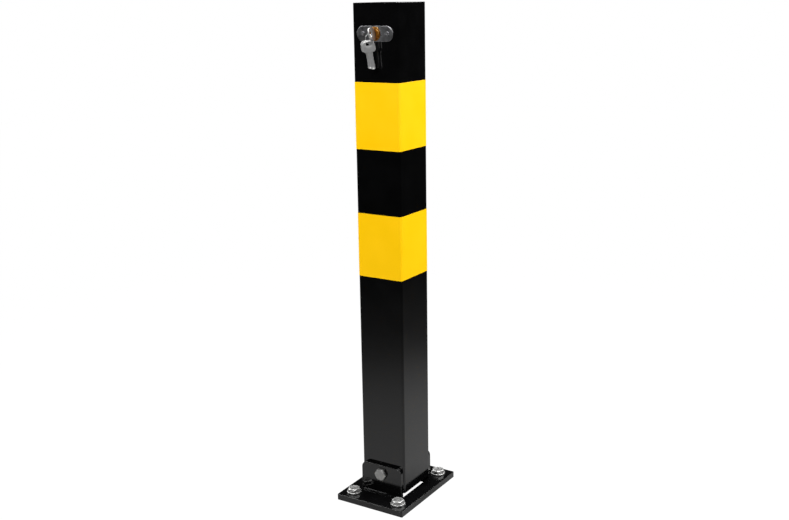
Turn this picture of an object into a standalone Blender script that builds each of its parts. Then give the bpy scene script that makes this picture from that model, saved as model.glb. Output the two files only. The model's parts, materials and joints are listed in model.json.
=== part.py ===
"""Folding parking post on a bolted base plate.

Frame: metres, +Z up, origin at the centre of the base plate's underside. The lock side faces -Y and
the post folds down towards -X about a bolt that runs along Y through two welded ears.
"""

import math

import bmesh
import bpy
from mathutils import Euler, Matrix, Vector

# ---- driving dimensions ---------------------------------------------------------------------------
PLATE_X = 0.125
PLATE_Y = 0.170
PLATE_THICK = 0.010
PLATE_CORNER = 0.0015
WINDOW_X = 0.074            # opening under the post, which the folding corner swings into
ANCHOR_INSET = 0.020        # anchor centre to the plate's edges
ANCHOR_HOLE_R = 0.007

BOLT_FLATS = 0.018          # the anchor bolts and the pivot bolt
BOLT_HEAD = 0.005
BOLT_R = 0.006
BOLT_BORE_R = 0.0065
WASHER_R = 0.012
WASHER_THICK = 0.0025
NUT_THICK = 0.0105
SHIM_THICK = 0.0004

TUBE = 0.080                # square tube, outside
WALL = 0.003
TUBE_CORNER = 0.0035
POST_TOP = 0.795
POST_BOTTOM = 0.017
CAP_THICK = 0.004
BANDS = {"lower_yellow_band": (0.3753, 0.4765), "upper_yellow_band": (0.5767, 0.6785)}
BAND_THICK = 0.00025
BAND_GAP = 0.00015

EAR_WIDTH = 0.076
EAR_THICK = 0.006
EAR_HEIGHT = 0.050          # above the plate
EAR_CORNER = 0.010
EAR_CLEARANCE = 0.001       # between ear and tube
PIVOT_Z = 0.045
SWING_RADIUS = 0.0435       # furthest point of the tube's folding corner from the pivot
SLEEVE_R = 0.009
SLEEVE_BORE_R = 0.0063

LOCK_Z = 0.750
ESCUTCHEON_WIDTH = 0.064
ESCUTCHEON_HEIGHT = 0.023
ESCUTCHEON_THICK = 0.0015
LOCK_SCREW_X = 0.0215
LOCK_SCREW_HOLE_R = 0.0023
HOUSING_R = 0.010
HOUSING_PROUD = 0.0004      # in front of the escutcheon
HOUSING_DEPTH = 0.0305
PLUG_R = 0.007
PLUG_SUNK = 0.0006          # behind the escutcheon's outer face
PLUG_DEPTH = 0.0312
SPIGOT_R = 0.004            # the plug's inner end, which carries the cam
CAM_THICK = 0.003
CAM_PIN_R = 0.0025
CRANK = 0.009               # cam pin to lock axis
CRANK_ANGLE = math.radians(45)
ROD_X = 0.031
ROD_Y = -0.0028
ROD_R = 0.005

KEY_LEAN = math.radians(10)  # the key's lean from upright in the unlocked lock
KEY_THICK = 0.0018
BOW_LENGTH = 0.0165
BOW_WIDTH = 0.0185
BOW_CORNER = 0.006
BLADE_LENGTH = 0.025
BLADE_WIDTH = 0.0076
SLOT_WIDTH = 0.007
SLOT_HEIGHT = 0.006
SLOT_FROM_END = 0.0050
KEY_RING_R = 0.0067
KEY_RING_WIRE_R = 0.00055
KEY_RING_TURN = math.radians(12)   # the ring's plane, about Z from the post's front
KEY_RING_TILT = math.radians(30)   # the ring's centre, round from straight below the key's slot
KEY_RING_DROP = 0.0012             # the wire below the middle of the key's slot
KEY_RING_FORWARD = 0.0010          # and in front of it
SPARE_KEY_TURN = math.radians(32)  # the keys' planes, about Z from the post's front
SPARE_KEY_SHIFT = 0.0009           # the slot's middle, left of the wire
# place round the ring from its lowest point, lean from upright, slot's middle below the wire
SPARE_KEYS = {"spare_key_1": (math.radians(-25), math.radians(8), 0.0010),
              "spare_key_2": (math.radians(5), math.radians(11), 0.0015)}

GAP = 0.0003                # left between pieces that touch
ROUND = 24                  # sides of a round piece, a multiple of 12
HALF = TUBE / 2
FRONT = Euler((math.pi / 2, 0, 0))  # turns local Z to world -Y and local Y to world Z
BACK = Euler((math.pi / 2, 0, math.pi))


# ---- tools ----------------------------------------------------------------------------------------
def clear():
    for obj in list(bpy.data.objects):
        bpy.data.objects.remove(obj, do_unlink=True)


def material(name, color, roughness, metallic=0.0):
    mat = bpy.data.materials.new(name)
    mat.use_nodes = True
    shader = mat.node_tree.nodes["Principled BSDF"]
    shader.inputs["Base Color"].default_value = (*color, 1.0)
    shader.inputs["Roughness"].default_value = roughness
    shader.inputs["Metallic"].default_value = metallic
    mat.diffuse_color = (*color, 1.0)
    return mat


def empty(name, position, parent=None):
    obj = bpy.data.objects.new(name, None)
    obj.empty_display_size = 0.02
    bpy.context.scene.collection.objects.link(obj)
    obj.location = Vector(position) - (parent["position"] if parent else Vector())
    obj.parent = parent["object"] if parent else None
    return {"object": obj, "position": Vector(position)}


def add(name, bm, mat, position=(0, 0, 0), turn=None, parent=None, smooth=False):
    """Make the object; position is in world space, whatever the parent."""
    bmesh.ops.recalc_face_normals(bm, faces=bm.faces)
    mesh = bpy.data.meshes.new(name)
    bm.to_mesh(mesh)
    bm.free()
    if mat:
        mesh.materials.append(mat)
    if smooth:
        mesh.shade_smooth()
        mesh.set_sharp_from_angle(angle=math.radians(35))
    return add_copy(name, mesh, position, turn, parent)


def add_copy(name, mesh, position, turn=None, parent=None):
    obj = bpy.data.objects.new(name, mesh)
    bpy.context.scene.collection.objects.link(obj)
    obj.location = Vector(position) - (parent["position"] if parent else Vector())
    if turn:
        obj.rotation_euler = turn
    if parent:
        obj.parent = parent["object"]
    return obj


def cut(target, *cutters):
    """Cut the cutters, which stay hidden in the file, out of the target."""
    for cutter in cutters:
        cutter.hide_render = True
        cutter.display_type = "WIRE"
        modifier = target.modifiers.new(cutter.name, "BOOLEAN")
        modifier.operation = "DIFFERENCE"
        modifier.object = cutter


def arc(cx, cy, radius, start, end, steps):
    turns = [start + (end - start) * i / steps for i in range(steps + 1)]
    return [(cx + radius * math.cos(a), cy + radius * math.sin(a)) for a in turns]


def circle(cx, cy, radius, count=ROUND):
    return arc(cx, cy, radius, 0, 2 * math.pi * (count - 1) / count, count - 1)


def rounded_rect(x0, y0, x1, y1, radii, steps=4):
    """Outline with its corners in the order +x+y, -x+y, -x-y, +x-y."""
    corners = [(x1, y1, -1, -1), (x0, y1, 1, -1), (x0, y0, 1, 1), (x1, y0, -1, 1)]
    points = []
    for i, ((x, y, sx, sy), r) in enumerate(zip(corners, radii)):
        if r:
            points += arc(x + sx * r, y + sy * r, r, i * math.pi / 2, (i + 1) * math.pi / 2, steps)
        else:
            points.append((x, y))
    return points


def prism(outline, depth, holes=(), z=0.0):
    """Flat piece with straight sides, from z to z + depth."""
    bm = bmesh.new()
    edges = []
    for loop in (outline, *holes):
        verts = [bm.verts.new((x, y, z)) for x, y in loop]
        edges += [bm.edges.new(pair) for pair in zip(verts, verts[1:] + verts[:1])]
    faces = bmesh.ops.triangle_fill(bm, use_beauty=True, use_dissolve=False, edges=edges)["geom"]
    faces = [f for f in faces if isinstance(f, bmesh.types.BMFace)]
    raised = bmesh.ops.extrude_face_region(bm, geom=faces)["geom"]
    moved = [v for v in raised if isinstance(v, bmesh.types.BMVert)]
    bmesh.ops.translate(bm, verts=moved, vec=(0, 0, depth))
    return bm


def loft(rings, closed=False):
    """Skin loops of equal point counts; closed joins the last loop to the first."""
    bm = bmesh.new()
    loops = [[bm.verts.new(p) for p in ring] for ring in rings]
    pairs = list(zip(loops, loops[1:])) + ([(loops[-1], loops[0])] if closed else [])
    for low, high in pairs:
        for i in range(len(low)):
            j = (i + 1) % len(low)
            bm.faces.new((low[i], low[j], high[j], high[i]))
    if not closed:
        bm.faces.new(loops[0])
        bm.faces.new(loops[-1])
    return bm


def round_ring(radius, z, count=ROUND):
    return [(x, y, z) for x, y in circle(0, 0, radius, count)]


def hex_ring(flats, z):
    points = []
    for i in range(ROUND):
        a = 2 * math.pi * i / ROUND
        r = flats / 2 / math.cos(a % (math.pi / 3) - math.pi / 6)
        points.append((r * math.cos(a), r * math.sin(a), z))
    return points


def tube_ring(half, corner, z):
    outline = rounded_rect(-half, -half, half, half, [corner] * 4)
    return [(x, y, z) for x, y in outline]


def turned(profile, closed=False, count=ROUND):
    return loft([round_ring(r, z, count) for r, z in profile], closed)


def hex_bolt(flats, head, radius, length):
    """Head from z = 0 upward, shank down to -length."""
    chamfer = flats * 0.06
    rings = [round_ring(radius * 0.85, -length), round_ring(radius, -length + radius * 0.2),
             round_ring(radius, 0), hex_ring(flats, 0), hex_ring(flats, head - chamfer),
             round_ring(flats * 0.475, head)]
    return loft(rings)


def hex_nut(flats, height, bore):
    chamfer = flats * 0.06
    rings = [round_ring(bore, 0), round_ring(flats * 0.475, 0), hex_ring(flats, chamfer),
             hex_ring(flats, height - chamfer), round_ring(flats * 0.475, height), round_ring(bore, height)]
    return loft(rings, closed=True)


def washer(outer, bore, thick):
    return turned([(bore, 0), (outer, 0), (outer, thick), (bore, thick)], closed=True)


# ---- the base -------------------------------------------------------------------------------------
def build_base(mats):
    anchor_x = PLATE_X / 2 - ANCHOR_INSET
    anchor_y = PLATE_Y / 2 - ANCHOR_INSET
    anchors = {"front_left": (-1, -1), "front_right": (1, -1), "rear_left": (-1, 1), "rear_right": (1, 1)}
    places = {side: (sx * anchor_x, sy * anchor_y) for side, (sx, sy) in anchors.items()}
    ear_inner = HALF + EAR_CLEARANCE
    window = rounded_rect(-WINDOW_X / 2, -ear_inner + GAP, WINDOW_X / 2, ear_inner - GAP, [0.001] * 4)
    outline = rounded_rect(-PLATE_X / 2, -PLATE_Y / 2, PLATE_X / 2, PLATE_Y / 2, [PLATE_CORNER] * 4)
    holes = [circle(x, y, ANCHOR_HOLE_R) for x, y in places.values()]
    add("base_plate", prism(outline, PLATE_THICK, [window, *holes]), mats["black"])

    head_z = PLATE_THICK + WASHER_THICK + 2 * GAP
    for side, (x, y) in places.items():
        add("anchor_washer_" + side, washer(WASHER_R, BOLT_BORE_R, WASHER_THICK), mats["zinc"],
            (x, y, PLATE_THICK + GAP), smooth=True)
        bolt = hex_bolt(BOLT_FLATS, BOLT_HEAD, BOLT_R, head_z - 0.0005)
        add("anchor_bolt_" + side, bolt, mats["zinc"], (x, y, head_z), smooth=True)

    ear = rounded_rect(-EAR_WIDTH / 2, GAP, EAR_WIDTH / 2, EAR_HEIGHT, [EAR_CORNER, EAR_CORNER, 0, 0], 6)
    bore = circle(0, PIVOT_Z - PLATE_THICK, BOLT_BORE_R)
    for end, turn, side in (("front", FRONT, -1), ("rear", BACK, 1)):
        add(end + "_ear", prism(ear, EAR_THICK, [bore]), mats["black"], (0, side * ear_inner, PLATE_THICK),
            turn)
        shim = washer(WASHER_R, BOLT_BORE_R, SHIM_THICK)
        add(end + "_pivot_shim", shim, mats["nylon"], (0, side * (HALF + GAP), PIVOT_Z), turn, smooth=True)

    ear_outer = ear_inner + EAR_THICK
    bolt = hex_bolt(BOLT_FLATS, BOLT_HEAD, BOLT_R, 2 * ear_outer + 0.016)
    add("pivot_bolt", bolt, mats["zinc"], (0, -ear_outer - GAP, PIVOT_Z), FRONT, smooth=True)
    add("pivot_washer", washer(WASHER_R, BOLT_BORE_R, WASHER_THICK), mats["zinc"],
        (0, ear_outer + GAP, PIVOT_Z), BACK, smooth=True)
    nut_y = ear_outer + WASHER_THICK + 2 * GAP
    nut = hex_nut(BOLT_FLATS, NUT_THICK, BOLT_R + GAP)
    add("pivot_nut", nut, mats["zinc"], (0, nut_y, PIVOT_Z), BACK, smooth=True)


# ---- the post -------------------------------------------------------------------------------------
def build_post(mats, post):
    inner = HALF - WALL
    rings = [tube_ring(HALF, TUBE_CORNER, POST_BOTTOM), tube_ring(HALF, TUBE_CORNER, POST_TOP),
             tube_ring(inner, 0.001, POST_TOP), tube_ring(inner, 0.001, POST_BOTTOM)]
    tube = add("post_tube", loft(rings, closed=True), mats["black"], parent=post)
    for vertex in tube.data.vertices:
        vertex.co -= post["position"]
    tube.location = (0, 0, 0)

    reach = 0.065
    relief = [(-reach, -reach), (0, -reach)] + arc(0, 0, SWING_RADIUS, -math.pi / 2, -math.pi, 10)
    relief += [(-reach, 0)]
    swing_cut = add("swing_relief_cutter", prism(relief, TUBE * 1.2, z=-TUBE * 0.6), None, post["position"],
                    FRONT, post)
    long_pin = turned([(SLEEVE_R + GAP, -TUBE), (SLEEVE_R + GAP, TUBE)])
    sleeve_cut = add("sleeve_cutter", long_pin, None, post["position"], FRONT, post)
    lock_pin = turned([(HOUSING_R + GAP, -0.01), (HOUSING_R + GAP, 0.01)])
    lock_cut = add("lock_cutter", lock_pin, None, (0, -HALF, LOCK_Z), FRONT, post)
    screw_cuts = []
    for side, x in (("left", -LOCK_SCREW_X), ("right", LOCK_SCREW_X)):
        screw_pin = turned([(LOCK_SCREW_HOLE_R, -0.01), (LOCK_SCREW_HOLE_R, 0.01)], count=12)
        screw_cuts.append(add("lock_screw_cutter_" + side, screw_pin, None, (x, -HALF, LOCK_Z), FRONT, post))
    cut(tube, swing_cut, sleeve_cut, lock_cut, *screw_cuts)

    sleeve = turned([(SLEEVE_BORE_R, -HALF), (SLEEVE_R, -HALF), (SLEEVE_R, HALF), (SLEEVE_BORE_R, HALF)],
                    closed=True)
    add("pivot_sleeve", sleeve, mats["steel"], post["position"], FRONT, post, smooth=True)

    cap = rounded_rect(-inner + GAP, -inner + GAP, inner - GAP, inner - GAP, [0.001] * 4)
    add("post_cap", prism(cap, CAP_THICK), mats["black"], (0, 0, POST_TOP - CAP_THICK), parent=post)

    near, far = BAND_GAP, BAND_GAP + BAND_THICK
    for name, (low, high) in BANDS.items():
        rings = [tube_ring(HALF + near, TUBE_CORNER + near, 0), tube_ring(HALF + far, TUBE_CORNER + far, 0),
                 tube_ring(HALF + far, TUBE_CORNER + far, high - low),
                 tube_ring(HALF + near, TUBE_CORNER + near, high - low)]
        add(name, loft(rings, closed=True), mats["yellow"], (0, 0, low), parent=post)

    guide = rounded_rect(ROD_X - 0.009, ROD_Y - 0.010, inner - GAP, ROD_Y + 0.010, [0.001] * 4)
    bore = circle(ROD_X, ROD_Y, ROD_R + GAP)
    for name, z in (("rod_guide_lower", 0.075), ("rod_guide_middle", 0.400), ("rod_guide_upper", 0.700)):
        add(name, prism(guide, 0.010, [bore]), mats["steel"], (0, 0, z), parent=post)


# ---- the lock -------------------------------------------------------------------------------------
def build_lock(mats, post, plug, rod):
    face = -HALF - GAP
    r = ESCUTCHEON_HEIGHT / 2
    straight = ESCUTCHEON_WIDTH / 2 - r
    outline = arc(straight, 0, r, -math.pi / 2, math.pi / 2, 12)
    outline += arc(-straight, 0, r, math.pi / 2, 3 * math.pi / 2, 12)
    holes = [circle(0, 0, HOUSING_R + GAP)]
    holes += [circle(x, 0, LOCK_SCREW_HOLE_R, 12) for x in (-LOCK_SCREW_X, LOCK_SCREW_X)]
    add("lock_escutcheon", prism(outline, ESCUTCHEON_THICK, holes), mats["stainless"], (0, face, LOCK_Z),
        FRONT, post)
    top = face - ESCUTCHEON_THICK
    for side, x in (("left", -LOCK_SCREW_X), ("right", LOCK_SCREW_X)):
        profile = [(0.002, -0.009), (0.002, 0), (0.0036, 0), (0.0034, 0.0008), (0.0022, 0.0014)]
        add("lock_screw_" + side, turned(profile), mats["stainless"], (x, top - GAP, LOCK_Z), FRONT, post,
            smooth=True)

    # Distances along the lock's axis are measured inward from the escutcheon's outer face.
    bore = PLUG_R + GAP
    housing = [(bore, HOUSING_PROUD), (HOUSING_R, HOUSING_PROUD), (HOUSING_R, -HOUSING_DEPTH),
               (bore, -HOUSING_DEPTH)]
    add("lock_housing", turned(housing, closed=True), mats["brass"], (0, top, LOCK_Z), FRONT, post,
        smooth=True)
    nut_y = -HALF + WALL + GAP + 0.004
    add("lock_nut", hex_nut(0.026, 0.004, HOUSING_R + GAP), mats["brass"], (0, nut_y, LOCK_Z), FRONT, post,
        smooth=True)

    spigot = PLUG_DEPTH + 0.0035
    profile = [(0.0023, -0.0285), (0.0023, -spigot), (SPIGOT_R, -spigot), (SPIGOT_R, -PLUG_DEPTH),
               (PLUG_R, -PLUG_DEPTH), (PLUG_R, -PLUG_SUNK)]
    core = add("lock_plug", turned(profile), mats["brass"], (0, top, LOCK_Z), FRONT, plug, smooth=True)
    depth = BLADE_LENGTH + 2 * GAP
    half_thick, half_wide = KEY_THICK / 2 + GAP, BLADE_WIDTH / 2 + GAP
    way = prism(rounded_rect(-half_thick, -half_wide, half_thick, half_wide, [0] * 4), depth + 0.005,
                z=-depth - PLUG_SUNK)
    leaning = (Matrix.Rotation(-KEY_LEAN, 4, "Y") @ FRONT.to_matrix().to_4x4()).to_euler()
    cut(core, add("keyway_cutter", way, None, (0, top, LOCK_Z), leaning, plug))

    pin_x, pin_z = CRANK * math.cos(CRANK_ANGLE), CRANK * math.sin(CRANK_ANGLE)
    cam_y = top + PLUG_DEPTH + GAP
    side = CRANK_ANGLE + math.pi / 2
    outline = arc(pin_x, pin_z, 0.0045, side - math.pi, side, 8) + arc(0, 0, 0.008, side, side + math.pi, 12)
    bores = [circle(0, 0, SPIGOT_R + GAP, 12), circle(pin_x, pin_z, CAM_PIN_R + GAP, 12)]
    add("lock_cam", prism(outline, CAM_THICK, bores), mats["zinc"], (0, cam_y + CAM_THICK, LOCK_Z), FRONT,
        plug)
    pin_end = cam_y + CAM_THICK + 0.008
    pin = turned([(CAM_PIN_R, 0), (CAM_PIN_R, pin_end - cam_y)], count=12)
    add("cam_pin", pin, mats["steel"], (pin_x, pin_end, LOCK_Z + pin_z), FRONT, plug, smooth=True)
    screw_y = top + spigot + GAP
    profile = [(0.0045, -0.0022), (0.0045, 0), (0.002, 0), (0.002, 0.0055)]
    add("cam_screw", turned(profile), mats["zinc"], (0, screw_y, LOCK_Z), FRONT, plug, smooth=True)

    # The yoke's level slot turns the cam pin's arc into the rod's straight travel.
    yoke_y = screw_y + 0.0022 + GAP
    edge = ROD_X - ROD_R - GAP
    yoke = rounded_rect(0.0008, -0.007, edge, 0.007, [0.001, 0.003, 0.003, 0.001])
    slot = rounded_rect(pin_x - 0.0032, -0.0031, CRANK + 0.0034, 0.0031, [0.001] * 4)
    yoke_thick = 0.003
    add("rod_yoke", prism(yoke, yoke_thick, [slot]), mats["steel"], (0, yoke_y + yoke_thick, LOCK_Z + pin_z),
        FRONT, rod)
    bottom = POST_BOTTOM + 0.0005
    length = LOCK_Z + 0.025 - bottom
    profile = [(ROD_R * 0.8, 0), (ROD_R, 0.0015), (ROD_R, length)]
    add("lock_rod", turned(profile), mats["steel"], (ROD_X, yoke_y + yoke_thick / 2, bottom), parent=rod,
        smooth=True)


# ---- the keys -------------------------------------------------------------------------------------
def key_shape():
    """Flat key along local +X, from its tip through the blade to the bow's end; the slot is the origin."""
    end = SLOT_FROM_END
    shoulder = end - BOW_LENGTH
    tip = shoulder - BLADE_LENGTH
    half_bow, half_blade = BOW_WIDTH / 2, BLADE_WIDTH / 2
    upper = arc(end - BOW_CORNER, half_bow - BOW_CORNER, BOW_CORNER, 0, math.pi / 2, 5)
    upper += [(shoulder + 0.004, half_bow), (shoulder, half_bow - 0.004), (shoulder, half_blade),
              (tip + 0.003, half_blade), (tip, half_blade - 0.0028)]
    outline = upper + [(x, -y) for x, y in reversed(upper)]
    slot = rounded_rect(-SLOT_HEIGHT / 2, -SLOT_WIDTH / 2, SLOT_HEIGHT / 2, SLOT_WIDTH / 2, [0.0012] * 4, 3)
    return prism(outline, KEY_THICK, [slot], z=-KEY_THICK / 2)


def key_ring_point(centre, turn):
    """Point on the ring, turn radians round from its lowest point."""
    across = Vector((math.cos(KEY_RING_TURN), -math.sin(KEY_RING_TURN), 0))
    return centre + KEY_RING_R * (math.sin(turn) * across - math.cos(turn) * Vector((0, 0, 1)))


def build_keys(mats, plug, top):
    slot_y = top + PLUG_SUNK - GAP - BOW_LENGTH + SLOT_FROM_END
    slot = Vector((0, slot_y, LOCK_Z))
    key = empty("key_slide", slot, plug)
    upright = Matrix(((0, 0, -1), (-1, 0, 0), (0, 1, 0))).to_4x4()
    leaning = (Matrix.Rotation(-KEY_LEAN, 4, "Y") @ upright).to_euler()
    in_lock = add("key_in_lock", key_shape(), mats["nickel"], slot, leaning, key)

    down = Vector((math.sin(KEY_LEAN), 0, -math.cos(KEY_LEAN)))
    hang = slot + KEY_RING_DROP * down - Vector((0, KEY_RING_FORWARD, 0))
    ring = empty("key_ring_swing", hang, key)
    centre = key_ring_point(hang, -KEY_RING_TILT)
    sections = []
    for i in range(ROUND):
        a = 2 * math.pi * i / ROUND
        wire = circle(KEY_RING_R, 0, KEY_RING_WIRE_R, 8)
        sections.append([(x * math.cos(a), x * math.sin(a), z) for x, z in wire])
    turn = (Matrix.Rotation(-KEY_RING_TURN, 4, "Z") @ FRONT.to_matrix().to_4x4()).to_euler()
    add("key_ring", loft(sections, closed=True), mats["nickel"], centre, turn, ring, smooth=True)

    facing = Matrix.Rotation(SPARE_KEY_TURN, 4, "Z")
    hanging = Matrix(((0, -1, 0), (0, 0, -1), (1, 0, 0))).to_4x4()
    for name, (place, lean, drop) in SPARE_KEYS.items():
        contact = key_ring_point(centre, place)
        swing = empty(name + "_swing", contact, ring)
        position = contact + facing @ Vector((-SPARE_KEY_SHIFT, 0, -drop))
        turn = facing @ Matrix.Rotation(-lean, 4, "Y") @ hanging
        add_copy(name, in_lock.data, position, turn.to_euler(), swing)


def main():
    clear()
    mats = {
        "black": material("black_paint", (0.012, 0.012, 0.013), 0.25),
        "yellow": material("yellow_film", (0.98, 0.60, 0.0), 0.45),
        "zinc": material("zinc_plated_steel", (0.62, 0.62, 0.63), 0.35, 1.0),
        "steel": material("bare_steel", (0.42, 0.42, 0.43), 0.45, 1.0),
        "stainless": material("stainless_steel", (0.45, 0.45, 0.46), 0.30, 1.0),
        "brass": material("brass", (0.70, 0.42, 0.12), 0.30, 1.0),
        "nickel": material("nickel_plated_brass", (0.68, 0.68, 0.67), 0.30, 1.0),
        "nylon": material("nylon", (0.75, 0.74, 0.70), 0.5),
    }
    build_base(mats)
    post = empty("post_fold", (0, 0, PIVOT_Z))
    build_post(mats, post)
    plug = empty("plug_turn", (0, -HALF, LOCK_Z), post)
    rod = empty("rod_slide", (ROD_X, ROD_Y, LOCK_Z), post)
    build_lock(mats, post, plug, rod)
    build_keys(mats, plug, -HALF - GAP - ESCUTCHEON_THICK)


main()
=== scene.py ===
"""Looks of the folding parking post: fine-edged pieces in painted, plated and polished finishes."""
import json
import math

import bmesh
import bpy
from mathutils import Euler, Matrix, Vector

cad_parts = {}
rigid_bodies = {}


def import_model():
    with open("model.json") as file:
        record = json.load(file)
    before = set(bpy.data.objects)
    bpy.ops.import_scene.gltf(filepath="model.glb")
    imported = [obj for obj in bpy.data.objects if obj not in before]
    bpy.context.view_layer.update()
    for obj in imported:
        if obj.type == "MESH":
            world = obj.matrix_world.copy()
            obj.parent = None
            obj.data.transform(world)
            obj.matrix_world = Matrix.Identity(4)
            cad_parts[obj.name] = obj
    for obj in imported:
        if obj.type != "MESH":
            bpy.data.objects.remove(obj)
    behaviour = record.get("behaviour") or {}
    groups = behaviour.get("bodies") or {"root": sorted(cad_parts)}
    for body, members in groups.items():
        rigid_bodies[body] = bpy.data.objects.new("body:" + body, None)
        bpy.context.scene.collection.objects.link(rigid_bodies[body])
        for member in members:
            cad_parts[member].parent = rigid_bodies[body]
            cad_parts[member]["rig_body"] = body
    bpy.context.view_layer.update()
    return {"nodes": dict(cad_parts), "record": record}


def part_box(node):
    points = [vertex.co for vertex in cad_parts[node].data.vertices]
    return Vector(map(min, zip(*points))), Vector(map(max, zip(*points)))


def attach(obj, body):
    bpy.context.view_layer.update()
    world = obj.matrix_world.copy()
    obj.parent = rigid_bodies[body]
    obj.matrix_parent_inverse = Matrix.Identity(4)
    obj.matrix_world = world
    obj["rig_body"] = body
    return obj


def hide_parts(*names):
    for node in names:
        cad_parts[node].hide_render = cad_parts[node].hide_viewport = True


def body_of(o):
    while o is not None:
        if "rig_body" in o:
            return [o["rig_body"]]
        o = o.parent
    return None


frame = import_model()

SLOTS = {entry["node"]: entry["material_slot"] for entry in frame["record"]["subparts"]}

# ---- camera ---------------------------------------------------------------------------------------
CAMERA_AIM = Vector((0.0016, 0.0010, 0.3961))
CAMERA_DISTANCE = 1.666
CAMERA_AZIMUTH = math.radians(32.31)
CAMERA_ELEVATION = math.radians(14.20)
CAMERA_ROLL = math.radians(-0.904)
CAMERA_LENS = 47.734

# ---- the CAD's dimensions that a node's box doesn't give ------------------------------------------
PLATE_CORNER = 0.0015
WINDOW_X = 0.037            # half the opening under the post
WINDOW_Y = 0.0407
ANCHOR_HOLE_R = 0.007
TUBE_CORNER = 0.0035
TUBE_WALL = 0.003
SWING_RADIUS = 0.0435       # the tube's folding corner is cut to this radius round the pivot
EAR_CORNER = 0.010
PIVOT_BORE_R = 0.0065
TUBE_BORE_R = 0.0093        # the tube's hole for the pivot sleeve
SLEEVE_R = 0.009
HEX_FLATS = 0.018
HEX_FACE_R = HEX_FLATS * 0.475
SHANK_R = 0.006
SHANK_BORE_R = 0.0063       # the hole in the sleeve and the nut
WASHER_BORE_R = 0.0065
SEAT_GAP = 0.0003           # between a head and what it clamps
LOCK_SCREW_X = 0.0215
LOCK_SCREW_HOLE_R = 0.0023
HOUSING_R = 0.010
HOUSING_GAP = 0.0003
PLUG_R = 0.007
KEY_LEAN = math.radians(10)
KEY_THICK = 0.0018
BOW_LENGTH = 0.0165
BOW_WIDTH = 0.0185
BOW_CORNER = 0.006
BLADE_LENGTH = 0.025
BLADE_WIDTH = 0.0076
SLOT_WIDTH = 0.007
SLOT_HEIGHT = 0.006
SLOT_FROM_END = 0.0050
BOW_TO_PLATE = 0.0003       # the inserted key's bow in front of the escutcheon
KEY_RING_R = 0.0067
KEY_RING_TURN = math.radians(12)
KEY_RING_TILT = math.radians(30)
KEY_RING_DROP = 0.0012
KEY_RING_FORWARD = 0.0010
SPARE_KEY_TURN = math.radians(32)
SPARE_KEY_SHIFT = 0.0009
# place round the ring from its lowest point, lean from upright, slot's middle below the wire
SPARE_KEYS = {"spare_key_1": (math.radians(-25), math.radians(8), 0.0010),
              "spare_key_2": (math.radians(5), math.radians(11), 0.0015)}

# ---- fineness -------------------------------------------------------------------------------------
ROUND = 48                  # sides of a round piece
EASE_STEPS = 4              # steps round an eased edge
SHARP = math.radians(40)
SKIN_GAP = 0.00005          # keeps two surfaces from lying in one plane


# ---- shader tools ---------------------------------------------------------------------------------
class Shader:
    """Adds and links nodes of one tree."""

    def __init__(self, tree):
        self.tree = tree

    def put(self, socket, value):
        if isinstance(value, bpy.types.NodeSocket):
            self.tree.links.new(value, socket)
        else:
            socket.default_value = value

    def add(self, kind, settings=None, **inputs):
        node = self.tree.nodes.new("ShaderNode" + kind)
        for name, value in (settings or {}).items():
            setattr(node, name, value)
        for name, value in inputs.items():
            self.put(node.inputs[name.replace("_", " ")], value)
        return node

    def math(self, operation, a, b=0.0):
        node = self.add("Math", {"operation": operation})
        self.put(node.inputs[0], a)
        self.put(node.inputs[1], b)
        return node.outputs[0]

    def ramp(self, value, low, high, out_low=0.0, out_high=1.0):
        return self.add("MapRange", Value=value, From_Min=low, From_Max=high, To_Min=out_low,
                        To_Max=out_high).outputs[0]

    def mix(self, factor, a, b):
        node = self.add("Mix", {"data_type": "RGBA"})
        self.put(node.inputs[0], factor)
        self.put(node.inputs[6], (*a, 1) if isinstance(a, tuple) else a)
        self.put(node.inputs[7], (*b, 1) if isinstance(b, tuple) else b)
        return node.outputs[2]

    def noise(self, vector, scale, detail=3.0):
        node = self.add("TexNoise", Vector=vector, Scale=scale, Detail=detail, Roughness=0.55)
        return node.outputs["Fac"]

    def camera_or(self, seen, unseen):
        """Mix of the shader that the camera sees and the one that lights the rest."""
        mixed = self.add("MixShader")
        self.put(mixed.inputs[0], self.add("LightPath").outputs["Is Camera Ray"])
        self.put(mixed.inputs[1], unseen.outputs[0])
        self.put(mixed.inputs[2], seen.outputs[0])
        return mixed.outputs[0]


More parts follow.
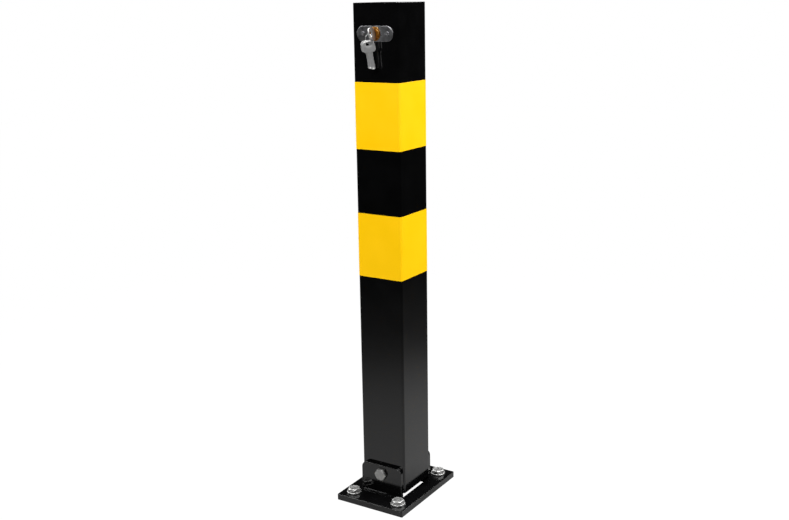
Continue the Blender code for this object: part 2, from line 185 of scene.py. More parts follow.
def surface(name, color, roughness, metallic=0.0, *, spread, patch_scale, rough_spread, wear_and_highlight, bump,
            bump_depth=0.00005, stretch=None, grain=900.0, worn_rough=0.1, specular=0.5):
    """Finish with patchy colour and gloss, a fine grain, and eased edges lightened by wear and a painted
    highlight.
    """
    mat = bpy.data.materials.new(name)
    mat.use_nodes = True
    shader = mat.node_tree.nodes["Principled BSDF"]
    s = Shader(mat.node_tree)
    place = s.add("TexCoord").outputs["Object"]
    patches = s.noise(place, patch_scale)
    fine = s.noise(s.add("Mapping", Vector=place, Scale=stretch).outputs[0] if stretch else place, grain)
    dark = tuple(c * (1 - spread) for c in color)
    light = tuple(min(1.0, c * (1 + spread)) for c in color)
    tone = s.mix(s.ramp(patches, 0.3, 0.7), dark, light)
    edge = s.add("Attribute", {"attribute_name": "edge"}).outputs["Fac"]
    # mask of the eased edges broken by noise: it lightens them, partly as wear and partly as a painted
    # highlight
    wear_and_highlight_mask = s.math("MULTIPLY", edge, s.ramp(s.noise(place, 350.0, 4.0), 0.42, 0.62))
    rough = s.math("ADD", s.ramp(patches, 0.3, 0.7, roughness - rough_spread, roughness + rough_spread),
                   s.ramp(fine, 0.3, 0.7, -rough_spread * 0.5, rough_spread * 0.5))
    rough = s.math("ADD", rough, s.math("MULTIPLY", wear_and_highlight_mask, worn_rough))
    # painted edge highlight and wear: the eased edges mixed towards the lighter edge colour
    s.put(shader.inputs["Base Color"], s.mix(wear_and_highlight_mask, tone, wear_and_highlight))
    s.put(shader.inputs["Roughness"], rough)
    shader.inputs["Metallic"].default_value = metallic
    shader.inputs["Specular IOR Level"].default_value = specular
    relief = s.add("Bump", Strength=bump, Distance=bump_depth, Height=fine)
    s.put(shader.inputs["Normal"], relief.outputs[0])
    return mat


EVEN = (1, 1, 1)
BRUSHED = (0.06, 1.0, 1.0)  # grain along X
DRAWN = (1.0, 1.0, 0.04)    # grain along Z


def make_materials():
    # each finish's edge colour lightens its eased edges: partly wear, partly a painted highlight
    return {
        "black_paint": surface("black_paint", (0.0013, 0.0013, 0.0014), 0.10, spread=0.3, patch_scale=35,
                               rough_spread=0.025, stretch=EVEN, grain=420.0, bump=0.25,
                               bump_depth=0.00003, wear_and_highlight=(0.012, 0.012, 0.012), worn_rough=0.15),
        "yellow_film": surface("yellow_film", (0.94, 0.545, 0.0008), 0.38, spread=0.02, patch_scale=25,
                               rough_spread=0.05, stretch=EVEN, grain=1100.0, bump=0.15,
                               wear_and_highlight=(0.85, 0.46, 0.02), worn_rough=0.1, specular=0.3),
        "zinc_plate": surface("zinc_plate", (0.36, 0.36, 0.355), 0.43, 1.0, spread=0.10, patch_scale=260,
                              rough_spread=0.06, bump=0.25, wear_and_highlight=(0.48, 0.48, 0.47)),
        "bare_steel": surface("bare_steel", (0.34, 0.335, 0.33), 0.42, 1.0, spread=0.2, patch_scale=90,
                              rough_spread=0.08, stretch=DRAWN, grain=1500.0, bump=0.3,
                              wear_and_highlight=(0.55, 0.55, 0.55)),
        "stainless": surface("stainless", (0.27, 0.27, 0.28), 0.32, 1.0, spread=0.08, patch_scale=120,
                             rough_spread=0.05, stretch=BRUSHED, grain=2600.0, bump=0.35,
                             wear_and_highlight=(0.33, 0.33, 0.34), worn_rough=0.14),
        "brass": surface("brass", (0.36, 0.135, 0.017), 0.31, 1.0, spread=0.12, patch_scale=300,
                         rough_spread=0.07, bump=0.2, wear_and_highlight=(0.62, 0.34, 0.10)),
        "nickel": surface("nickel", (0.46, 0.46, 0.455), 0.44, 1.0, spread=0.05, patch_scale=260,
                          rough_spread=0.04, bump=0.2, wear_and_highlight=(0.74, 0.73, 0.70)),
        "nylon": surface("nylon", (0.62, 0.61, 0.56), 0.5, spread=0.05, patch_scale=150, rough_spread=0.04,
                         bump=0.2, wear_and_highlight=(0.7, 0.69, 0.64)),
    }


# ---- studio ---------------------------------------------------------------------------------------
SOFTBOX_AIM = Vector((0, 0, 0.45))
SOFTBOX_DISTANCE = 2.3
SOFTBOX_SIZE = 1.4
# azimuth from the front towards the right, elevation, watts
SOFTBOXES = (("front_softbox", 0, 42, 70), ("right_softbox", 112, 36, 73), ("left_softbox", 262, 40, 60),
             ("rear_softbox", 168, 50, 60), ("top_softbox", 0, 90, 4))
# spots over the middle of the floor: cone's whole angle, watts
POOLS = (("narrow_pool", 40, 150), ("wide_pool", 72, 40))
POOL_HEIGHT = 2.4
POOL_LAMP_R = 0.15
ROOM = (0.012, 0.012, 0.012, 1)
WHITE = (1, 1, 1, 1)
FLOOR_R = 6.0
FLOOR_DROP = 0.0002
FLOOR = (0.8, 0.8, 0.8, 1)
FLOOR_SEEN = (0.06, 0.06, 0.06, 1)


def direction(azimuth, elevation):
    """Unit vector towards a lamp or the camera; azimuth 0 is the front, -Y."""
    return Vector((math.sin(azimuth) * math.cos(elevation), -math.cos(azimuth) * math.cos(elevation),
                   math.sin(elevation)))


def make_camera():
    """Camera on a sphere round its aim."""
    back = direction(CAMERA_AZIMUTH, CAMERA_ELEVATION)
    right = Vector((math.cos(CAMERA_AZIMUTH), math.sin(CAMERA_AZIMUTH), 0))
    right = math.cos(CAMERA_ROLL) * right + math.sin(CAMERA_ROLL) * back.cross(right)
    data = bpy.data.cameras.new("camera")
    data.lens = CAMERA_LENS
    data.clip_end = 100
    camera = bpy.data.objects.new("camera", data)
    rotation = Matrix((right, back.cross(right), back)).transposed().to_4x4()
    camera.matrix_world = Matrix.Translation(CAMERA_AIM + CAMERA_DISTANCE * back) @ rotation
    bpy.context.scene.collection.objects.link(camera)
    bpy.context.scene.camera = camera


def make_world():
    """White all round as the camera sees it; the room that lights the post is dark but for its lamps."""
    world = bpy.data.worlds.new("studio")
    bpy.context.scene.world = world
    world.use_nodes = True
    world.node_tree.nodes.clear()
    s = Shader(world.node_tree)
    seen = s.camera_or(s.add("Background", Color=WHITE), s.add("Background", Color=ROOM))
    s.put(s.add("OutputWorld").inputs["Surface"], seen)


def add_light(kind, name, position, aim, watts, **settings):
    data = bpy.data.lights.new(name, kind)
    data.energy = watts
    for key, value in settings.items():
        setattr(data, key, value)
    light = bpy.data.objects.new(name, data)
    light.location = position
    light.rotation_euler = (Vector(aim) - Vector(position)).to_track_quat("-Z", "Y").to_euler()
    bpy.context.scene.collection.objects.link(light)
    return light


def keep_off(light, obj):
    """The light doesn't fall on the object."""
    group = bpy.data.collections.new("unlit_by_" + light.name)
    group.objects.link(obj)
    group.collection_objects[0].light_linking.link_state = "EXCLUDE"
    light.light_linking.receiver_collection = group


def make_floor():
    """Round floor, glowing white as the camera sees it, that throws the spots' light up at the post."""
    bm = bmesh.new()
    bmesh.ops.create_circle(bm, cap_ends=True, radius=FLOOR_R, segments=96)
    mesh = bpy.data.meshes.new("floor")
    bm.to_mesh(mesh)
    bm.free()
    floor = bpy.data.objects.new("floor", mesh)
    bpy.context.scene.collection.objects.link(floor)
    floor.location.z = -FLOOR_DROP
    mat = bpy.data.materials.new("floor")
    mat.use_nodes = True
    mat.node_tree.nodes.clear()
    s = Shader(mat.node_tree)
    pale = s.add("AddShader")
    s.put(pale.inputs[0], s.add("BsdfDiffuse", Color=FLOOR_SEEN).outputs[0])
    s.put(pale.inputs[1], s.add("Emission", Color=WHITE).outputs[0])
    s.put(s.add("OutputMaterial").inputs["Surface"], s.camera_or(pale, s.add("BsdfDiffuse", Color=FLOOR)))
    mesh.materials.append(mat)
    return floor


def make_studio():
    make_world()
    floor = make_floor()
    for name, angle, watts in POOLS:
        add_light("SPOT", name, (0, 0, POOL_HEIGHT), (0, 0, 0), watts, spot_size=math.radians(angle),
                  spot_blend=1.0, shadow_soft_size=POOL_LAMP_R)
    for name, azimuth, elevation, watts in SOFTBOXES:
        way = direction(math.radians(azimuth), math.radians(elevation))
        lamp = add_light("AREA", name, SOFTBOX_AIM + SOFTBOX_DISTANCE * way, SOFTBOX_AIM, watts,
                         shape="SQUARE", size=SOFTBOX_SIZE)
        keep_off(lamp, floor)


# ---- mesh tools -----------------------------------------------------------------------------------
def arc(cx, cy, radius, start, end, steps):
    turns = [start + (end - start) * i / steps for i in range(steps + 1)]
    return [(cx + radius * math.cos(a), cy + radius * math.sin(a)) for a in turns]


def circle(cx, cy, radius, count=ROUND):
    return arc(cx, cy, radius, 0, 2 * math.pi * (count - 1) / count, count - 1)


def rounded_rect(x0, y0, x1, y1, radii, steps=6):
    """Outline with its corners in the order +x+y, -x+y, -x-y, +x-y."""
    corners = [(x1, y1, -1, -1), (x0, y1, 1, -1), (x0, y0, 1, 1), (x1, y0, -1, 1)]
    points = []
    for i, ((x, y, sx, sy), r) in enumerate(zip(corners, radii)):
        start = i * math.pi / 2
        points += arc(x + sx * r, y + sy * r, r, start, start + math.pi / 2, steps) if r else [(x, y)]
    return points


def inset(loop, distance):
    """The anticlockwise loop moved inward by distance."""
    moved = []
    for i, here in enumerate(loop):
        before, after = Vector(loop[i - 1]), Vector(loop[(i + 1) % len(loop)])
        here = Vector(here)
        a, b = (here - before).normalized(), (after - here).normalized()
        normal = Vector((-a.y - b.y, a.x + b.x)).normalized()
        moved.append(tuple(here + normal * (distance / max(0.3, normal.dot(Vector((-a.y, a.x)))))))
    return moved


def ease(size, low, high):
    """(inset, z) up a wall whose edges are rounded to size."""
    turns = [math.pi / 2 * i / EASE_STEPS for i in range(EASE_STEPS + 1)]
    bottom = [(size * (1 - math.sin(t)), low + size * (1 - math.cos(t))) for t in turns]
    top = [(inward, low + high - z) for inward, z in reversed(bottom)]
    return bottom + top


def wall(bm, layer, loop, steps, sign):
    """Skin a loop through the (inset, z) steps and mark the eased strips; returns the end loops."""
    rings = [[bm.verts.new((x, y, z)) for x, y in inset(loop, sign * inward)] for inward, z in steps]
    for k, (low, high) in enumerate(zip(rings, rings[1:])):
        for i in range(len(low)):
            j = (i + 1) % len(low)
            face = bm.faces.new((low[i], low[j], high[j], high[i]))
            if k != EASE_STEPS:
                for corner in face.loops:
                    corner[layer] = 1.0
    return rings[0], rings[-1]


def slab(outline, low, high, holes=(), edge=0.0004, hole_edge=0.0003):
    """Flat piece with rounded edges; outline and holes run anticlockwise."""
    bm = bmesh.new()
    layer = bm.loops.layers.float.new("edge")
    ends = []
    for loop, size, sign in ((outline, edge, 1), *((hole, hole_edge, -1) for hole in holes)):
        ends.append(wall(bm, layer, loop, ease(size, low, high), sign))
    for which in (0, 1):
        edges = []
        for end in ends:
            ring = end[which]
            edges += [bm.edges.get(pair) for pair in zip(ring, ring[1:] + ring[:1])]
        bmesh.ops.triangle_fill(bm, use_beauty=True, use_dissolve=False, edges=edges)
    return bm


def skin(rings, closed=False, wear_and_highlight=()):
    """Skin loops of equal point counts; faces that start at a ring in the given list are marked as edges,
    for the finish's wear and painted highlight.
    """
    bm = bmesh.new()
    layer = bm.loops.layers.float.new("edge")
    loops = [[bm.verts.new(p) for p in ring] for ring in rings]
    pairs = list(zip(loops, loops[1:])) + ([(loops[-1], loops[0])] if closed else [])
    for k, (low, high) in enumerate(pairs):
        for i in range(len(low)):
            j = (i + 1) % len(low)
            face = bm.faces.new((low[i], low[j], high[j], high[i]))
            if k in wear_and_highlight:
                for corner in face.loops:
                    corner[layer] = 1.0
    if not closed:
        bm.faces.new(loops[0])
        bm.faces.new(loops[-1])
    return bm


def round_ring(radius, z):
    return [(x, y, z) for x, y in circle(0, 0, radius)]


def turned(profile, closed=False, wear_and_highlight=()):
    """Skin round the Z axis through the (radius, z) profile."""
    return skin([round_ring(r, z) for r, z in profile], closed, wear_and_highlight)


def eased_tube(bore, outer, low, high, edge=0.0003):
    """Ring or washer with rounded edges."""
    outside = [(outer - inward, z) for inward, z in ease(edge, low, high)]
    inside = [(bore + inward, z) for inward, z in reversed(ease(edge, low, high))]
    wear_and_highlight = [k for k in range(len(outside) - 1) if k != EASE_STEPS]
    wear_and_highlight += [len(outside) + k for k in wear_and_highlight]
    return turned(outside + inside, closed=True, wear_and_highlight=wear_and_highlight)


WASHER_FACE = 0.0004        # height of the round face under a hexagon
CROWN_SLOPE = math.tan(math.radians(28))


def hex_rings(height):
    """Rings of a hexagon whose top is turned to a cone, on a thin round washer face."""
    flat, crown = [], []
    for i in range(ROUND):
        a = 2 * math.pi * i / ROUND
        r = HEX_FLATS / 2 / math.cos(a % (math.pi / 3) - math.pi / 6)
        flat.append((r * math.cos(a), r * math.sin(a), WASHER_FACE))
        crown.append((r * math.cos(a), r * math.sin(a), height - (r - HEX_FACE_R) * CROWN_SLOPE))
    return [round_ring(HEX_FACE_R, 0), round_ring(HEX_FACE_R, WASHER_FACE), flat, crown,
            round_ring(HEX_FACE_R, height)]


PITCH = 0.00175
THREAD_DEPTH = 0.0009


def thread_rings(low, high):
    """Rings down a helical thread from high to low, faded in at its start and out at its tip."""
    steps = max(2, round((high - low) / PITCH * 8))
    rings = []
    for k in range(steps + 1):
        z = high + (low - high) * k / steps
        fade = min(1.0, k / 6, (z - low) / 0.0012 + 0.15)
        ring = []
        for i in range(ROUND):
            a = 2 * math.pi * i / ROUND
            wave = abs(((z / PITCH - i / ROUND) % 1.0) * 2 - 1)
            tip = 0.0008 * max(0.0, 1 - (z - low) / 0.001)
            r = SHANK_R - THREAD_DEPTH * wave * fade - tip
            ring.append((r * math.cos(a), r * math.sin(a), z))
        rings.append(ring)
    return rings


def bolt(head, length, thread):
    """Hexagon bolt, head from z = 0 upward, with a shallow dish in the head and a thread at its end."""
    shank = [round_ring(SHANK_R, 0), round_ring(SHANK_R, -(length - thread))]
    shank += thread_rings(-length, -(length - thread))
    dish = [round_ring(HEX_FACE_R * 0.86, head), round_ring(HEX_FACE_R * 0.8, head - 0.00025),
            round_ring(HEX_FACE_R * 0.4, head - 0.00035)]
    crown = len(shank) + 3
    return skin(shank[::-1] + hex_rings(head) + dish, wear_and_highlight=(crown, crown + 1))


def nut(height):
    chamfer = 0.0006
    bore = [round_ring(SHANK_BORE_R + chamfer, height), round_ring(SHANK_BORE_R, height - chamfer),
            round_ring(SHANK_BORE_R, chamfer)]
    return skin([round_ring(SHANK_BORE_R + chamfer, 0)] + hex_rings(height) + bore, closed=True, wear_and_highlight=(4,))


def place(bm, position, turn=None):
    """The mesh turned by a Euler or a 3 x 3 matrix and moved."""
    matrix = Matrix.Translation(position)
    if turn:
        matrix = matrix @ (turn.to_4x4() if isinstance(turn, Matrix) else turn.to_matrix().to_4x4())
    bmesh.ops.transform(bm, matrix=matrix, verts=bm.verts)
    return bm


def add_piece(name, bm, node, replace=True):
    """A piece that rides with a CAD node's body, in its finish, and usually stands for it."""
    bmesh.ops.recalc_face_normals(bm, faces=bm.faces)
    mesh = bpy.data.meshes.new(name)
    bm.to_mesh(mesh)
    bm.free()
    mesh.materials.append(MATERIALS[SLOTS[node]])
    mesh.shade_smooth()
    mesh.set_sharp_from_angle(angle=SHARP)
    piece = bpy.data.objects.new(name, mesh)
    bpy.context.scene.collection.objects.link(piece)
    normals = piece.modifiers.new("normals", "WEIGHTED_NORMAL")
    normals.keep_sharp = True
    body = body_of(frame["nodes"][node])
    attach(piece, body if isinstance(body, str) else body[0])
    if replace:
        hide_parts(node)
    return piece


def low_high(node):
    low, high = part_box(node)
    return Vector(low), Vector(high)


FRONT = Euler((math.pi / 2, 0, 0))  # turns local Z to world -Y and local Y to world Z
BACK = Euler((math.pi / 2, 0, math.pi))


# ---- the base -------------------------------------------------------------------------------------
ANCHOR_TURNS = {"front_left": 8, "front_right": 21, "rear_left": 40, "rear_right": 3}  # degrees
ANCHOR_THREAD = 0.008
PIVOT_THREAD = 0.020
WELD_LEG = 0.0026
WELD_MARGIN = 0.002         # bare plate past the weld's ends
WELD_SECTIONS = 168
WELD_RIPPLE = 8             # sections to one ripple


def dress_base():
    low, high = low_high("base_plate")
    outline = rounded_rect(low.x, low.y, high.x, high.y, [PLATE_CORNER] * 4)
    holes = [rounded_rect(-WINDOW_X, -WINDOW_Y, WINDOW_X, WINDOW_Y, [0.001] * 4)]
    for side, degrees in ANCHOR_TURNS.items():
        a, b = low_high("anchor_washer_" + side)
        x, y = (a.x + b.x) / 2, (a.y + b.y) / 2
        holes.append(circle(x, y, ANCHOR_HOLE_R, 24))
        ring = eased_tube(WASHER_BORE_R, (b.x - a.x) / 2, 0, b.z - a.z, 0.0005)
        add_piece("washer_" + side, place(ring, (x, y, a.z)), "anchor_washer_" + side)
        c, d = low_high("anchor_bolt_" + side)
        head_low = b.z + SEAT_GAP
        turn = Matrix.Rotation(math.radians(degrees), 3, "Z")
        body = bolt(d.z - head_low, head_low - c.z, ANCHOR_THREAD)
        add_piece("bolt_" + side, place(body, (x, y, head_low), turn), "anchor_bolt_" + side)
    add_piece("plate", slab(outline, low.z, high.z, holes, 0.0006, 0.0004), "base_plate")

    plate_top = high.z
    pivot_low, pivot_high = low_high("front_pivot_shim")
    pivot_z = (pivot_low.z + pivot_high.z) / 2
    for end, turn, side in (("front", FRONT, -1), ("rear", BACK, 1)):
        a, b = low_high(end + "_ear")
        thick = b.y - a.y
        inner = min(abs(a.y), abs(b.y))
        shape = rounded_rect(a.x, a.z, b.x, b.z, [EAR_CORNER, EAR_CORNER, 0, 0], 12)
        bore = circle(0, pivot_z, PIVOT_BORE_R)
        ear = slab(shape, 0, thick, [bore], 0.0006, 0.0003)
        add_piece(end + "_ear_plate", place(ear, (0, side * inner, 0), turn), end + "_ear")
        bead = weld_bead(a.x + WELD_MARGIN, b.x - WELD_MARGIN, side * (inner + thick + SKIN_GAP),
                         plate_top + SKIN_GAP, side)
        add_piece(end + "_ear_weld", bead, end + "_ear", replace=False)
        a, b = low_high(end + "_pivot_shim")
        shim = eased_tube(WASHER_BORE_R, (b.x - a.x) / 2, 0, b.y - a.y, 0.0001)
        shim_y = side * min(abs(a.y), abs(b.y))
        add_piece(end + "_shim", place(shim, (0, shim_y, pivot_z), turn), end + "_pivot_shim")

    a, b = low_high("pivot_washer")
    ring = eased_tube(WASHER_BORE_R, (b.x - a.x) / 2, 0, b.y - a.y, 0.0005)
    add_piece("pivot_washer_ring", place(ring, (0, a.y, pivot_z), BACK), "pivot_washer")
    a, b = low_high("pivot_bolt")
    head_base = low_high("front_ear")[0].y - SEAT_GAP
    body = bolt(head_base - a.y, b.y - head_base, PIVOT_THREAD)
    add_piece("pivot_bolt_body", place(body, (0, head_base, pivot_z), FRONT), "pivot_bolt")
    a, b = low_high("pivot_nut")
    add_piece("pivot_nut_body", place(nut(b.y - a.y), (0, a.y, pivot_z), BACK), "pivot_nut")


def weld_bead(x0, x1, face_y, floor_z, side):
    """Fillet weld along an ear's foot, with the ripples of its puddles."""
    rings = []
    for k in range(WELD_SECTIONS + 1):
        x = x0 + (x1 - x0) * k / WELD_SECTIONS
        ripple = 0.5 + 0.5 * math.cos(2 * math.pi * k / WELD_RIPPLE)
        taper = min(1.0, (min(k, WELD_SECTIONS - k) + 1) / 6)
        size = WELD_LEG * taper * (0.985 + 0.015 * ripple)
        ring = [(x, face_y, floor_z)]
        for i in range(11):
            a = math.pi / 2 * i / 10
            reach = size * (0.76 + 0.24 * math.cos(2 * a) ** 2)  # a little hollow between its two legs
            ring.append((x, face_y + side * reach * math.cos(a), floor_z + reach * math.sin(a)))
        rings.append(ring)
    return skin(rings)


# ---- the post -------------------------------------------------------------------------------------
TUBE_RIM = 0.0005
FILM_GAP = 0.00015          # between the tube and a band's film
FILM_EDGE = 0.00006
LAP_X = (0.006, 0.018)      # where a film's end laps its start, on the rear
LAP_THICK = 0.0002


def tube_outline(half, corner, splits=14):
    """Square outline with its front and rear sides split, so that the relief's arc can follow them."""
    points = []
    outline = rounded_rect(-half, -half, half, half, [corner] * 4, 8)
    for i, (x, y) in enumerate(outline):
        points.append((x, y))
        nx, ny = outline[(i + 1) % len(outline)]
        if abs(nx - x) > half:
            points += [(x + (nx - x) * k / splits, y) for k in range(1, splits)]
    return points


def dress_post():
    low, high = low_high("post_tube")
    half = high.x
    pivot_low, pivot_high = low_high("pivot_sleeve")
    pivot_z = (pivot_low.z + pivot_high.z) / 2

    def foot(x):
        """The tube's lower end: level on the right, and an arc round the pivot on the left."""
        if x >= 0:
            return low.z
        return max(low.z, pivot_z - math.sqrt(max(0.0, SWING_RADIUS ** 2 - x * x)))

    outer, inner = tube_outline(half, TUBE_CORNER), tube_outline(half - TUBE_WALL, 0.001)
    tops = [(TUBE_RIM * (1 - math.cos(t)), high.z - TUBE_RIM * (1 - math.sin(t)))
            for t in (math.pi / 2 * i / EASE_STEPS for i in range(EASE_STEPS + 1))]
    rings = [[(x, y, foot(x)) for x, y in outer]]
    rings += [[(x, y, z) for x, y in inset(outer, inward)] for inward, z in tops]
    rings += [[(x, y, high.z) for x, y in inner], [(x, y, foot(x)) for x, y in inner]]
    bm = skin(rings, closed=True, wear_and_highlight=range(1, EASE_STEPS + 1))
    tube = add_piece("tube", bm, "post_tube")
    a, b = low_high("lock_housing")
    lock_z = (a.z + b.z) / 2
    sleeve_hole = turned([(TUBE_BORE_R, -0.06), (TUBE_BORE_R, 0.06)])
    lock_hole = turned([(HOUSING_R + HOUSING_GAP, -0.01), (HOUSING_R + HOUSING_GAP, 0.01)])
    drill(tube, place(sleeve_hole, (0, 0, pivot_z), FRONT), place(lock_hole, (0, -half, lock_z), FRONT))

    a, b = low_high("post_cap")
    add_piece("cap", slab(rounded_rect(a.x, a.y, b.x, b.y, [0.001] * 4), a.z, b.z, edge=0.0008), "post_cap")
    sleeve = eased_tube(SHANK_BORE_R, SLEEVE_R, -half, half, 0.0004)
    add_piece("sleeve", place(sleeve, (0, 0, pivot_z), FRONT), "pivot_sleeve")
    for node in ("lower_yellow_band", "upper_yellow_band"):
        a, b = low_high(node)
        film = tube_outline(b.x, TUBE_CORNER + b.x - half, 2)
        inside = tube_outline(half + FILM_GAP, TUBE_CORNER + FILM_GAP, 2)
        end = inset(film, FILM_EDGE)
        rings = [[(x, y, z) for x, y in loop]
                 for loop, z in ((end, a.z), (film, a.z + FILM_EDGE), (film, b.z - FILM_EDGE), (end, b.z),
                                 (inside, b.z), (inside, a.z))]
        add_piece(node + "_film", skin(rings, closed=True, wear_and_highlight=(0, 2)), node)
        patch = rounded_rect(LAP_X[0], a.z, LAP_X[1], b.z, [0.0005] * 4, 3)
        lap = slab(patch, 0, LAP_THICK, edge=0.00005)
        add_piece(node + "_lap", place(lap, (0, b.y + 0.00002, 0), BACK), node, replace=False)


def drill(piece, *cutters):
    """Cut the closed meshes out of the piece and keep the result."""
    for i, bm in enumerate(cutters):
        bmesh.ops.recalc_face_normals(bm, faces=bm.faces)
        mesh = bpy.data.meshes.new(f"drill_{i}")
        bm.to_mesh(mesh)
        bm.free()
        cutter = bpy.data.objects.new(f"drill_{i}", mesh)
        bpy.context.scene.collection.objects.link(cutter)
        hole = piece.modifiers.new("hole", "BOOLEAN")
        hole.operation = "DIFFERENCE"
        hole.solver = "EXACT"
        hole.object = cutter
        bpy.context.view_layer.update()
        normals = piece.modifiers.get("normals")
        normals.show_viewport = False
        done = bpy.data.meshes.new_from_object(piece.evaluated_get(bpy.context.evaluated_depsgraph_get()))
        piece.modifiers.remove(hole)
        piece.data = done
        normals.show_viewport = True
        bpy.data.objects.remove(cutter, do_unlink=True)


# ---- the lock -------------------------------------------------------------------------------------
PLUG_GAP = 0.0003
PLUG_NECK_R = 0.004
PLUG_NECK_LENGTH = 0.0035
KEYWAY_GAP = 0.0003
KEYWAY_SPARE = 0.0012       # the keyway's depth past the key's tip


def dress_lock():
    a, b = low_high("lock_escutcheon")
    lock_z = (a.z + b.z) / 2
    r = (b.z - a.z) / 2
    straight = b.x - r
    outline = arc(straight, 0, r, -math.pi / 2, math.pi / 2, 24)
    outline += arc(-straight, 0, r, math.pi / 2, 3 * math.pi / 2, 24)
    screws = {"left": -LOCK_SCREW_X, "right": LOCK_SCREW_X}
    holes = [circle(0, 0, HOUSING_R + HOUSING_GAP)]
    holes += [circle(x, 0, LOCK_SCREW_HOLE_R, 24) for x in screws.values()]
    plate = slab(outline, 0, b.y - a.y, holes, 0.0006, 0.0003)
    add_piece("escutcheon", place(plate, (0, b.y, lock_z), FRONT), "lock_escutcheon")
    for side, x in screws.items():
        screw = place(cross_screw(), (x, a.y - SEAT_GAP, lock_z), FRONT)
        add_piece("screw_" + side, screw, "lock_screw_" + side)

    a, b = low_high("lock_housing")
    bore = PLUG_R + PLUG_GAP
    profile = [(bore, b.y), (HOUSING_R, b.y), (HOUSING_R, a.y + 0.0004), (HOUSING_R - 0.0004, a.y),
               (bore + 0.0006, a.y), (bore, a.y + 0.0008)]
    ring = turned([(radius, -y) for radius, y in profile], closed=True, wear_and_highlight=(2, 4))
    add_piece("housing", place(ring, (0, 0, lock_z), FRONT), "lock_housing")
    a, b = low_high("lock_plug")
    way_x, way_y = KEY_THICK / 2 + KEYWAY_GAP, BLADE_WIDTH / 2 + KEYWAY_GAP
    way = rounded_rect(-way_x, -way_y, way_x, way_y, [0.0003] * 4, 2)
    cut_back = a.y + BLADE_LENGTH + KEYWAY_SPARE
    core = slab(circle(0, 0, PLUG_R), -cut_back, -a.y, [way], 0.0004, 0.0002)
    lean = Matrix.Rotation(-KEY_LEAN, 3, "Y") @ FRONT.to_matrix()
    add_piece("plug_face", place(core, (0, 0, lock_z), lean), "lock_plug")
    neck = -b.y + PLUG_NECK_LENGTH
    tail = turned([(0.0023, -cut_back - 0.0035), (0.0023, -b.y), (PLUG_NECK_R, -b.y), (PLUG_NECK_R, neck),
                   (PLUG_R, neck), (PLUG_R, -cut_back - 0.00002)])
    add_piece("plug_tail", place(tail, (0, 0, lock_z), FRONT), "lock_plug", replace=False)


def cross_screw():
    """Low flat head, from its seat at z = 0, with a cross recess, and its shank below."""
    head = 0.0036
    profile = [(0.002, -0.009), (0.002, 0), (head, 0), (head, 0.0007), (head - 0.0001, 0.0008)]
    rings = [round_ring(radius, z) for radius, z in profile]
    for scale, z in ((0.0018, 0.0008), (0.0018, 0.0002), (0.0010, 0.0001)):
        ring = []
        for i in range(ROUND):
            a = 2 * math.pi * i / ROUND
            reach = scale * (1.0 if abs(math.sin(2 * a)) < 0.5 else 0.42)  # a cross of four arms
            ring.append((reach * math.cos(a), reach * math.sin(a), z))
        rings.append(ring)
    return skin(rings, wear_and_highlight=(3, 4))


# ---- the keys -------------------------------------------------------------------------------------
SHOULDER_R = 0.004          # the bow's corners next to the blade
BITTING = (0.0, 0.7, 0.3, 0.9, 0.5, 0.8, 0.2, 0.6)
BITTING_DEPTH = 0.0009
BITTING_START, BITTING_END = 0.14, 0.9  # along the blade, from the bow to the tip
BITTING_SPAN = 0.72
GROOVE_HALF = 0.0011
GROOVE_DEPTH = 0.0005
BLADE_STEPS = 96
WIRE_R = 0.00034
WIRE_RISE = 0.00085         # from the ring's one end to its other
WIRE_FLAT = 1.35            # the wire's width over its height
WIRE_TURNS = 2
WIRE_STEPS = 64             # to one turn
WIRE_SIDES = 10
WIRE_START = 0.6


def key_mesh():
    """Key along local +X from its tip to the bow's end; the ring slot is the origin."""
    end = SLOT_FROM_END
    shoulder = end - BOW_LENGTH
    half_bow = BOW_WIDTH / 2
    upper = arc(end - BOW_CORNER, half_bow - BOW_CORNER, BOW_CORNER, 0, math.pi / 2, 10)
    upper += arc(shoulder + SHOULDER_R, half_bow - SHOULDER_R, SHOULDER_R, math.pi / 2, math.pi * 0.93, 6)
    upper += [(shoulder, BLADE_WIDTH / 2 + 0.0004)]
    outline = upper + [(x, -y) for x, y in reversed(upper)]
    slot = rounded_rect(-SLOT_HEIGHT / 2, -SLOT_WIDTH / 2, SLOT_HEIGHT / 2, SLOT_WIDTH / 2, [0.0012] * 4, 4)
    bm = slab(outline, -KEY_THICK / 2, KEY_THICK / 2, [slot], 0.0004, 0.0003)
    blade = blade_mesh(shoulder)
    mesh = bpy.data.meshes.new("blade")
    blade.to_mesh(mesh)
    blade.free()
    bm.from_mesh(mesh)
    bpy.data.meshes.remove(mesh)
    return bm


def blade_mesh(shoulder):
    """Blade with a milled groove down each face and the bitting cut into both edges."""
    face = KEY_THICK / 2 - SKIN_GAP
    bevel = 0.0003
    rings = []
    for k in range(BLADE_STEPS + 1):
        t = k / BLADE_STEPS
        x = shoulder - BLADE_LENGTH * t + 0.0004 * (1 - t)
        phase = min(max((t - BITTING_START) / BITTING_SPAN, 0.0), 0.9999) * (len(BITTING) - 1)
        i = int(phase)
        blend = min(1.0, max(0.0, (phase - i - 0.25) * 2))
        cut = 0.0
        if BITTING_START < t < BITTING_END:
            cut = (BITTING[i] * (1 - blend) + BITTING[i + 1] * blend) * BITTING_DEPTH
        nose = max(0.0, (t - 0.90) / 0.10)
        half = BLADE_WIDTH / 2 - cut - nose * nose * 0.0022
        floor = face - GROOVE_DEPTH * min(1.0, max(0.0, (0.97 - t) * 20))
        side = [(half, face - 0.0002), (half - bevel, face), (GROOVE_HALF + bevel, face),
                (GROOVE_HALF, floor)]
        section = side + [(-y, z) for y, z in reversed(side)]
        section += [(y, -z) for y, z in reversed(section)]
        rings.append([(x, y, z) for y, z in section])
    return skin(rings)


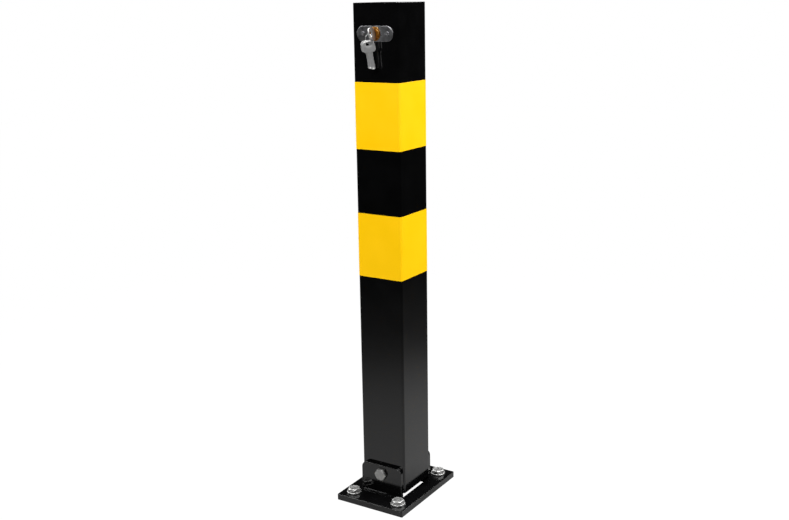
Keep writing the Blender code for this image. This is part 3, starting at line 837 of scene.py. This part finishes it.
def key_ring_point(centre, turn):
    """Point on the ring's wire, turned round from its lowest place."""
    across = Vector((math.cos(KEY_RING_TURN), -math.sin(KEY_RING_TURN), 0))
    return centre + KEY_RING_R * (math.sin(turn) * across - math.cos(turn) * Vector((0, 0, 1)))


def split_ring():
    """Split key ring: one flattened wire wound twice round, its ends lying beside each other."""
    rings = []
    count = WIRE_TURNS * WIRE_STEPS
    for k in range(count + 1):
        a = 2 * math.pi * k / WIRE_STEPS + WIRE_START
        rise = (k / count - 0.5) * WIRE_RISE
        size = WIRE_R * (0.5 if k in (0, count) else 1.0)
        ring = []
        for i in range(WIRE_SIDES):
            b = 2 * math.pi * i / WIRE_SIDES
            r = KEY_RING_R + WIRE_FLAT * size * math.cos(b)
            ring.append((r * math.cos(a), r * math.sin(a), rise + size * math.sin(b)))
        rings.append(ring)
    return skin(rings)


def dress_keys():
    a, b = low_high("lock_housing")
    lock_z = (a.z + b.z) / 2
    plate_face = low_high("lock_escutcheon")[0].y
    slot = Vector((0, plate_face + BOW_TO_PLATE - BOW_LENGTH + SLOT_FROM_END, lock_z))
    upright = Matrix(((0, 0, -1), (-1, 0, 0), (0, 1, 0)))  # the key's +X to -Y, its face to the side
    add_piece("key", place(key_mesh(), slot, Matrix.Rotation(-KEY_LEAN, 3, "Y") @ upright), "key_in_lock")

    down = Vector((math.sin(KEY_LEAN), 0, -math.cos(KEY_LEAN)))
    hang = slot + KEY_RING_DROP * down - Vector((0, KEY_RING_FORWARD, 0))
    centre = key_ring_point(hang, -KEY_RING_TILT)
    turn = Matrix.Rotation(-KEY_RING_TURN, 3, "Z") @ FRONT.to_matrix()
    add_piece("ring", place(split_ring(), centre, turn), "key_ring")

    facing = Matrix.Rotation(SPARE_KEY_TURN, 3, "Z")
    hanging = Matrix(((0, -1, 0), (0, 0, -1), (1, 0, 0)))  # the key's +X to +Z, its face to the front
    for name, (where, lean, drop) in SPARE_KEYS.items():
        position = key_ring_point(centre, where) + facing @ Vector((-SPARE_KEY_SHIFT, 0, -drop))
        turn = facing @ Matrix.Rotation(-lean, 3, "Y") @ hanging
        add_piece(name + "_body", place(key_mesh(), position, turn), name)


bpy.context.scene.view_settings.view_transform = "Standard"
make_camera()
make_studio()
MATERIALS = make_materials()
for node, obj in frame["nodes"].items():
    obj.data.materials.clear()
    obj.data.materials.append(MATERIALS[SLOTS[node]])
dress_base()
dress_post()
dress_lock()
dress_keys()
